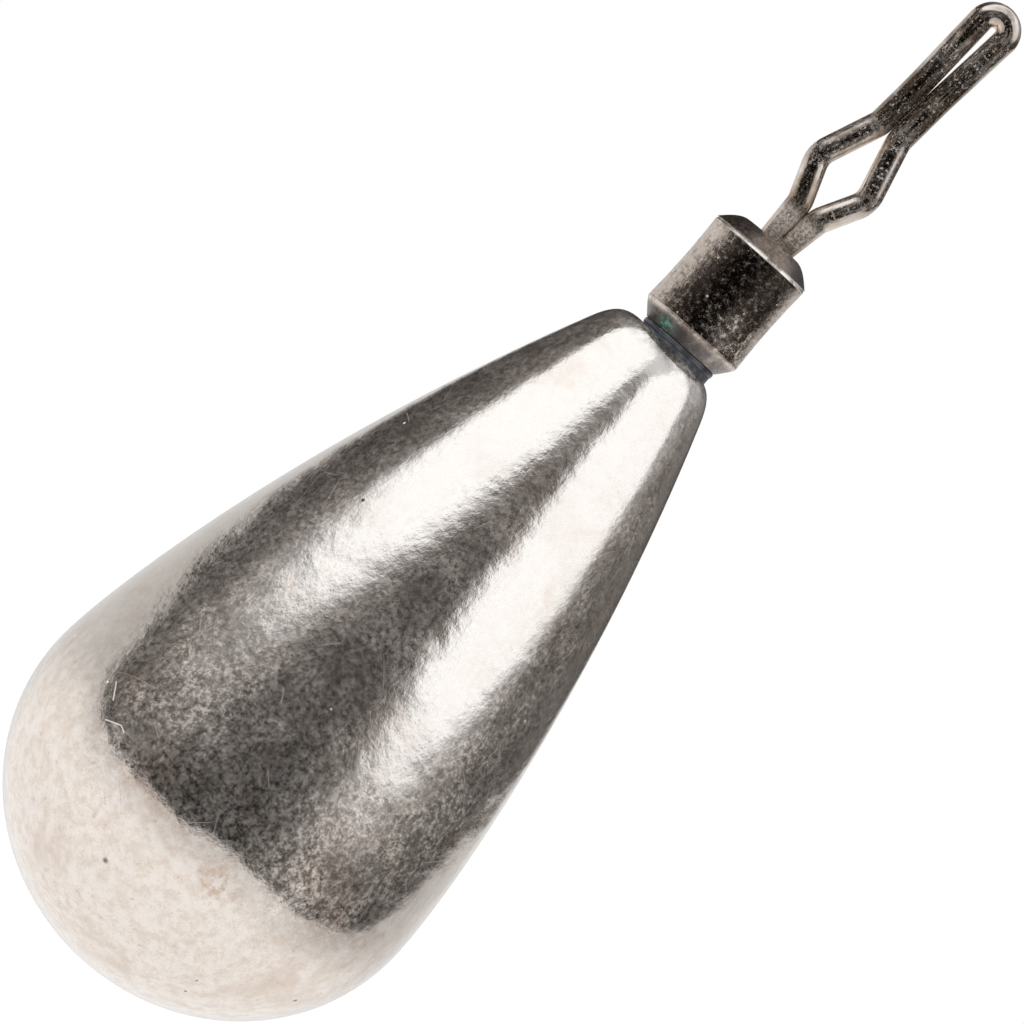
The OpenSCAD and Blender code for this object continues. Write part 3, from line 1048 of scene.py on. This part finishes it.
def barrel_colour(tree, place, ways, wear):
    worn = pattern(tree, place, BARREL_WORN_ROW)
    # Real wear and specks lighten the plating here, and so do the painted side reflections.
    worn = larger(tree, worn, wear["handled"], wear["patch"], wear["speckle"], wear["specks"])
    colour = blend(tree, worn, PLATED, RUBBED_AND_SHEEN)
    colour = blend(tree, wear["dome"], colour, DOME_DIRT)
    # Painted shade at the dome's two ends.
    colour = blend(tree, wear["unworn"], colour, DOME_PAINTED_SHADE)
    # Painted highlight under the upper edge.
    colour = blend(tree, wear["line"], colour, EDGE_PAINTED_HIGHLIGHT)
    # The dulled end turns slate, and is painted darker towards its left as shade.
    slate = blend(tree, fit(tree, ways[0], SLATE_RIGHT, SLATE_LEFT), SEAM_SLATE, SEAM_PAINTED_SHADE)
    colour = blend(tree, times(tree, wear["dulled"], SLATE_SHARE), colour, slate)
    return blend(tree, wear["salts"], colour, VERDIGRIS)


def barrel_film(tree, wear):
    film = scaled(tree, wear["patch"], PATCH_FILM, BARREL_FILM)
    # The painted side reflections carry more film, which lightens them further.
    film = scaled(tree, wear["handled"], PAINTED_SHEEN_FILM, film)
    film = times(tree, film, wear["speckle"])
    film = larger(tree, film, times(tree, wear["specks"], SPECK_FILM), wear["dirt"])
    # The painted highlight carries film too, so it stays white.
    film = larger(tree, film, times(tree, wear["line"], HIGHLIGHT_LINE_FILM))
    return larger(tree, film, times(tree, wear["dulled"], DULL_FILM), wear["salts"])


def barrel_finish():
    made, tree = finish("barrel_metal")
    place = in_mm(tree)
    ways = put(tree, "SeparateXYZ", Vector=place).outputs
    wear = barrel_wear(tree, place, ways)
    grain = pattern(tree, place, BARREL_GRAIN_ROW)
    satin = scaled(tree, grain, BARREL_SATIN_SWING, BARREL_SATIN)
    satin = scaled(tree, wear["dulled"], DULL_SATIN, satin)
    lines = scratches(tree, place, *BARREL_LINES)
    satin = larger(tree, satin, times(tree, lines, BARREL_LINE_SATIN))
    swells = relief(tree, cloud(tree, place, *BARREL_SWELLS), BARREL_TALL)
    peel = relief(tree, cloud(tree, place, *BARREL_PEEL), BARREL_TALL, swells)
    bare = count(tree, "SUBTRACT", 1.0, barrel_film(tree, wear))
    metal(tree, barrel_colour(tree, place, ways, wear), satin, peel, bare)
    return made


print("plating in linear light:", [round(value, 3) for value in PLATED[:3]])

# %% [markdown]
# The wire has the same black nickel, but it was drawn through a die, so its marks run lengthwise.
# Its patterns read the place on the straight wire, squeezed along its length. The flat light specks
# read the same place unsqueezed, and the tails are dull where they turn against the barrel.

# %% Finish of the wire
WIRE_DARK = tone(160, 144, 128)
WIRE_BRIGHT = tone(232, 220, 210)
STREAK_LENGTH = 0.12
STREAK_ROW, STREAK_SHADE = (9.0, 3.0, 0.6, 0.4, 0.65), 0.35
WIRE_GRAIN_ROW = (9.0, 3.0, 0.65, 0.42, 0.7)
WIRE_WORN_ROW = (1.2, 3.0, 0.6, 0.35, 0.6)
WIRE_SATIN, GRAIN_SATIN, STREAK_SATIN, SCUFF_SATIN = 0.09, 0.14, 0.06, 0.15
SCUFF_CUT, SCUFF_FILM = (0.1, 0.7), 0.16
TAIL_TOP, TAIL_LOW, TAIL_FILM = -0.95, -1.35, 0.55
TAIL_ROW = (12.0, 5.0, 0.75, 0.4, 0.58, 0.3, 1.0)
STREAK_FILM_ROW = (10.0, 5.0, 0.8, 0.48, 0.68, 0.0, 0.3)
WIRE_SPECK_ROW = (16.0, 4.0, 0.7, 0.53, 0.67, 0.0, 0.6)
DRAWN, DRAWN_TALL = (8.0, 2.0), 0.0025 * MM
WIRE_PEEL, WIRE_PEEL_TALL = (7.0, 3.0, 0.6), 0.0012 * MM


def wire_film(tree, streaky, even, scuffed):
    height = put(tree, "SeparateXYZ", Vector=in_mm(tree)).outputs[2]
    dull = fit(tree, height, TAIL_TOP, TAIL_LOW)
    dull = times(tree, dull, pattern(tree, even, TAIL_ROW))
    film = pattern(tree, streaky, STREAK_FILM_ROW)
    film = larger(tree, film, pattern(tree, even, WIRE_SPECK_ROW))
    film = larger(tree, film, times(tree, scuffed, SCUFF_FILM))
    return larger(tree, film, times(tree, dull, TAIL_FILM))


def wire_finish():
    made, tree = finish("clip_wire")
    straight = put(tree, "Attribute", {"attribute_name": "wire_place"}).outputs["Vector"]
    rubbed = put(tree, "Attribute", {"attribute_name": "tool_mark"}).outputs["Fac"]
    squeeze = (1 / MM, 1 / MM, STREAK_LENGTH / MM)
    streaky = put(tree, "Mapping", Vector=straight, Scale=squeeze).outputs[0]
    even = put(tree, "Mapping", Vector=straight, Scale=(1 / MM, 1 / MM, 1 / MM)).outputs[0]
    streaks = pattern(tree, streaky, STREAK_ROW)
    grain = pattern(tree, even, WIRE_GRAIN_ROW)
    colour = blend(tree, pattern(tree, even, WIRE_WORN_ROW), WIRE_DARK, WIRE_BRIGHT)
    colour = blend(tree, times(tree, streaks, STREAK_SHADE), colour, WIRE_DARK)
    scuffed = times(tree, rubbed, fit(tree, grain, *SCUFF_CUT))
    satin = scaled(tree, grain, GRAIN_SATIN, WIRE_SATIN)
    satin = scaled(tree, streaks, STREAK_SATIN, satin)
    satin = scaled(tree, scuffed, SCUFF_SATIN, satin)
    drawn = relief(tree, cloud(tree, streaky, *DRAWN), DRAWN_TALL)
    peel = relief(tree, cloud(tree, even, *WIRE_PEEL), WIRE_PEEL_TALL, drawn)
    bare = count(tree, "SUBTRACT", 1.0, wire_film(tree, streaky, even, scuffed))
    metal(tree, colour, satin, peel, bare)
    return made


print("streaks of the wire are", round(1 / STREAK_LENGTH, 1), "times as long as they are wide")

# %% [markdown]
# The stud's collar is the one place that stays wet after fishing. Its metal is slate grey, and
# green copper salts have grown in the seam against the barrel.

# %% Finish of the stud
SLATE = tone(98, 98, 104)
SLATE_DARK = tone(60, 60, 66)
SLATE_ROW = (2.4, 4.0, 0.6, 0.35, 0.65)
GREEN_ROW, GREEN_TWIST = (1.6, 4.0, 0.6, 0.58, 0.68), 0.6
STUD_GRAIN_ROW = (9.0, 3.0, 0.65, 0.4, 0.7)
STUD_SATIN, STUD_SATIN_SWING = 0.3, 0.25
STUD_PEEL, STUD_PEEL_TALL = (7.0, 3.0, 0.6), 0.003 * MM
STUD_BARE = 0.25
SALTS_ROUGHNESS = 0.85


def stud_finish():
    made, tree = finish("stud_metal")
    place = in_mm(tree)
    green = pattern(tree, place, GREEN_ROW, GREEN_TWIST)
    slate = blend(tree, pattern(tree, place, SLATE_ROW), SLATE, SLATE_DARK)
    colour = blend(tree, green, slate, VERDIGRIS)
    satin = scaled(tree, pattern(tree, place, STUD_GRAIN_ROW), STUD_SATIN_SWING, STUD_SATIN)
    bump = relief(tree, cloud(tree, place, *STUD_PEEL), STUD_PEEL_TALL)
    salts = put(
        tree, "BsdfPrincipled", Base_Color=VERDIGRIS, Roughness=SALTS_ROUGHNESS, Normal=bump,
    )
    dull_metal = put(
        tree, "BsdfPrincipled", Base_Color=colour, Metallic=STUD_BARE, Roughness=satin,
        Normal=bump,
    )
    both = put(tree, "MixShader", Fac=green)
    plug(tree, both.inputs[1], dull_metal.outputs[0])
    plug(tree, both.inputs[2], salts.outputs[0])
    put(tree, "OutputMaterial", Surface=both.outputs[0])
    return made


print("stud: bare share of its surface", STUD_BARE)

# %% [markdown]
# The adhesive is black epoxy with small bubbles. It lies round the shank, and a thin wedge of it
# shows as the dark seam between the leaning collar and the weight's top. It keeps the packed
# model's own mesh, with a better material in its slot.

# %% Finish of the adhesive
EPOXY = tone(62, 64, 70)
EPOXY_DUSTY = tone(92, 94, 100)
EPOXY_ROW = (6.0, 3.0, 0.5, 0.4, 0.7)
BUBBLES, BUBBLE_DEPTH = (4.0, 0.05, 0.4), 0.01 * MM
EPOXY_GLOSSY, EPOXY_ROUGH = 0.45, 0.7


def adhesive_finish():
    made, tree = finish("adhesive")
    place = in_mm(tree)
    bubbles = dots(tree, place, *BUBBLES)
    bump = relief(tree, bubbles, -BUBBLE_DEPTH)
    dusty = pattern(tree, place, EPOXY_ROW)
    shader = put(
        tree, "BsdfPrincipled", Base_Color=blend(tree, dusty, EPOXY, EPOXY_DUSTY),
        Roughness=fit(tree, bubbles, 0.0, 1.0, EPOXY_GLOSSY, EPOXY_ROUGH), Normal=bump,
    )
    put(tree, "OutputMaterial", Surface=shader.outputs[0])
    return made


print("adhesive: roughness from", EPOXY_GLOSSY, "to", EPOXY_ROUGH)

# %% [markdown]
# Each new piece now gets its finish, rides on its body, and takes the place of its plain node. The
# adhesive has no new mesh, so only the material in its slot changes.

# %% Put the finishes on
def dress(piece, body, node, finished):
    piece.data.materials.clear()
    piece.data.materials.append(finished)
    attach(piece, body)
    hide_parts(node)


dress(weight, "weight", "weight_body", weight_finish())
dress(stud, "weight", "anchor_stud", stud_finish())
dress(barrel, "barrel", "swivel_barrel", barrel_finish())
dress(clip, "clip", "line_clip", wire_finish())
for bond_slot in frame["nodes"]["bond"].material_slots:
    bond_slot.material = adhesive_finish()
print("finishes:", [made.name for made in bpy.data.materials])

# %% [markdown]
# Polished metal has hardly a colour of its own: it shows the room. So the studio is made for its
# reflections. The floor and the far surroundings are white, and a soft sun gives the floor its
# shadow. Neither the floor nor the sun shows in the metal.

# %% World, floor and lamp
FILL = 0.62
FLOOR_DROP = 6.7 * MM
FLOOR_SIZE = 1.6
FLOOR_WHITE = (0.97, 0.97, 0.97, 1)
LAMP_ANGLE = radians(24)
LAMP_TURN = (radians(38), radians(-24), 0)
LAMP_SHARE = 0.62
WHITE = (1, 1, 1, 1)

world = bpy.data.worlds.new("tent")
bpy.context.scene.world = world
world.use_nodes = True
tree = world.node_tree
tree.nodes.clear()
rays = put(tree, "LightPath").outputs
seen = larger(tree, rays["Is Camera Ray"], rays["Is Glossy Ray"], rays["Is Transmission Ray"])
sky = put(tree, "Background", Color=WHITE, Strength=fit(tree, seen, 0.0, 1.0, FILL, 1.0))
put(tree, "OutputWorld", Surface=sky.outputs[0])

floor_z = cad_box[0].z - FLOOR_DROP
bpy.ops.mesh.primitive_plane_add(size=FLOOR_SIZE, location=(0, 0, floor_z))
floor = bpy.context.object
floor.name = "floor"
white, tree = finish("floor_white")
matt = put(tree, "BsdfDiffuse", Color=FLOOR_WHITE)
put(tree, "OutputMaterial", Surface=matt.outputs[0])
floor.data.materials.append(white)
floor.visible_glossy = False

bpy.ops.object.light_add(type="SUN", rotation=LAMP_TURN)
lamp = bpy.context.object
lamp.name = "key_lamp"
lamp.data.angle = LAMP_ANGLE
lamp.data.energy = LAMP_SHARE * pi
lamp.visible_glossy = False
print("floor at", round(floor_z / MM, 2), "mm")

# %% [markdown]
# What the metal does show is painted on one far dome round the sinker, which only reflections see:
# black cloth, as a product photographer hangs it round the camera, and two soft lights in front of
# it. The lights draw the two bright stripes down the flanks, and the cloth draws the dark field
# between them. Curves over the compass say how low the cloth hangs in each direction, how bright it
# is, how white the floor under it is, and how low the lights reach.

# %% Curves of the reflected dome
HEM = (
    (-180, 2), (-165, 6), (-150, 8), (-135, 9.5), (-120, 9.5), (-105, 8.5), (-95, 3), (-90, -1.5),
    (-82, -9), (-75, -14.5), (-68, -18.5), (-60, -21.5), (-45, -22.5), (-30, -23), (-12, -25),
    (0, -23.5), (15, -19.8), (30, -17), (45, -16), (60, -15.2), (75, -13.6), (90, -9.6),
    (100, -5.5), (110, -0.5), (120, 4), (135, 6.5), (150, 4.5), (165, 3), (180, 2),
)
CLOTH_PERCENT = (
    (-180, 5), (-150, 5), (-135, 3), (-120, 2.5), (-105, 4), (-90, 6), (-60, 6), (-45, 5.5),
    (-30, 1.5), (-15, 0.5), (0, 0), (15, 0), (30, 2), (45, 5), (60, 8), (75, 6), (90, 5),
    (105, 4), (120, 5), (135, 12), (150, 18), (165, 15), (180, 6),
)
FLOOR_PERCENT = (
    (-180, 75), (-165, 68), (-150, 60), (-135, 54), (-105, 48), (-85, 52), (-60, 68), (0, 66),
    (60, 68), (90, 60), (105, 52), (120, 46), (135, 54), (150, 65), (165, 78), (180, 80),
)
LIGHT_EDGE = (
    (-180, 62), (-120, 60), (-105, 50), (-96, 36), (-87, 25), (-70, 21), (-58, 20.5), (-45, 22.5),
    (-30, 29), (-18, 37), (-8, 44), (5, 47), (15, 44), (22, 36), (30, 28), (38, 21.5),
    (46, 18.5), (58, 16.5), (70, 18), (80, 21.5), (92, 26), (98, 36), (108, 50), (120, 60),
    (180, 62),
)
print("the cloth hangs down to", min(height for turn, height in HEM), "degrees")

# %% [markdown]
# The cloth isn't one flat black. It is shaded near its hem, hazy higher up, behind and to the east,
# and it glows a little beside the lights.

# %% Cloth of the dome
DOME_R = 8.0
DOME_TURNS = 64
HEM_SHADE, HEM_SHADE_REACH = 0.4, 14
HALO, HALO_REACH = 0.2, 13
HAZE, HAZE_RISE = 0.05, (-5, 38)
BACK_HAZE, BACK_TURN, BACK_RISE = 0.25, (95.0, 120.0), (25.0, 60.0)
EAST_HAZE, EAST_FROM, EAST_TO, EAST_RISE = 0.26, (88.0, 105.0), (165.0, 125.0), (18.0, 32.0)
studio_middle = (cad_box[0] + cad_box[1]) / 2

bpy.ops.object.select_all(action="DESELECT")
bpy.ops.mesh.primitive_uv_sphere_add(
    segments=DOME_TURNS, ring_count=DOME_TURNS // 2, radius=DOME_R, location=studio_middle
)
dome = bpy.context.object
dome.name = "reflected_dome"
bpy.ops.object.shade_smooth()
painted, tree = finish("dome_paint")
own = put(tree, "TexCoord").outputs["Object"]
toward = put(tree, "SeparateXYZ", Vector=vector(tree, "NORMALIZE", own)).outputs
turn = compass(tree, toward)
rise = count(tree, "DEGREES", count(tree, "ARCSINE", toward[2]))
above_hem = count(tree, "SUBTRACT", rise, compass_curve(tree, turn, HEM))
above_edge = count(tree, "SUBTRACT", rise, compass_curve(tree, turn, LIGHT_EDGE))
cloth = times(tree, compass_curve(tree, turn, CLOTH_PERCENT), PERCENT)
cloth = times(tree, cloth, fit(tree, above_hem, 0.0, HEM_SHADE_REACH, HEM_SHADE, 1.0))
cloth = count(tree, "ADD", cloth, fit(tree, rise, *HAZE_RISE, 0.0, HAZE))
cloth = count(tree, "ADD", cloth, fit(tree, above_edge, -HALO_REACH, 0.0, 0.0, HALO))
astern = fit(tree, count(tree, "ABSOLUTE", turn), *BACK_TURN)
astern = times(tree, astern, fit(tree, rise, *BACK_RISE, 0.0, BACK_HAZE))
east = times(tree, fit(tree, turn, *EAST_FROM), fit(tree, turn, *EAST_TO))
east = times(tree, east, fit(tree, rise, *EAST_RISE, 0.0, EAST_HAZE))
cloth = count(tree, "ADD", count(tree, "ADD", cloth, astern), east)
print("dome of", DOME_R, "m round", [round(value / MM, 2) for value in studio_middle], "mm")

# %% [markdown]
# The lights are brighter than white, as lamps are, so the dull grains of the metal catch them from
# far off. A dimmer slit parts them overhead, and drifts to the east as it rises. Under the hem the
# paper of the floor is as white as the world where it is far below.

# %% Lights and paper of the dome
GLOW = 1.3
LIGHT_SOFT = 3
CEILING, CEILING_LOW, CEILING_HIGH = 0.6, 66, 85
SLIT, SLIT_FOOT, SLIT_TURN, SLIT_DRIFT = 0.72, 45, 3, 1.3
SLIT_HALF, SLIT_SOFT, SLIT_SPREAD = 9, 5, 1.2
FLOOR_REACH = 28
HEM_SOFT = 0.5
CLOTH_TINT = (1, 0.91, 0.86, 1)
LIGHT_TINT = (0.93, 0.98, 1.04, 1)
TINT_DARK, TINT_LIGHT = 0.03, 0.4

slit_rise = larger(tree, count(tree, "SUBTRACT", rise, SLIT_FOOT), 0.0)
slit_turn = scaled(tree, slit_rise, SLIT_DRIFT, SLIT_TURN)
off_slit = count(tree, "ABSOLUTE", count(tree, "SUBTRACT", turn, slit_turn))
off_slit = scaled(tree, slit_rise, -SLIT_SPREAD, off_slit)
lit = fit(tree, off_slit, SLIT_HALF, SLIT_HALF + SLIT_SOFT, SLIT, GLOW)
lit = mix(tree, fit(tree, rise, CEILING_LOW, CEILING_HIGH), lit, CEILING)
level = mix(tree, fit(tree, above_edge, -LIGHT_SOFT, LIGHT_SOFT), cloth, lit)
paper = times(tree, compass_curve(tree, turn, FLOOR_PERCENT), PERCENT)
paper = mix(tree, fit(tree, above_hem, 0.0, -FLOOR_REACH), paper, 1.0)
over = fit(tree, above_hem, -HEM_SOFT, HEM_SOFT)
tint = blend(tree, fit(tree, level, TINT_DARK, TINT_LIGHT), CLOTH_TINT, LIGHT_TINT)
tint = blend(tree, over, WHITE, tint)
shade = put(tree, "Emission", Color=tint, Strength=mix(tree, over, paper, level))
put(tree, "OutputMaterial", Surface=shade.outputs[0])
dome.data.materials.append(painted)
dome.visible_camera = False
dome.visible_diffuse = False
dome.visible_transmission = False
dome.visible_shadow = False
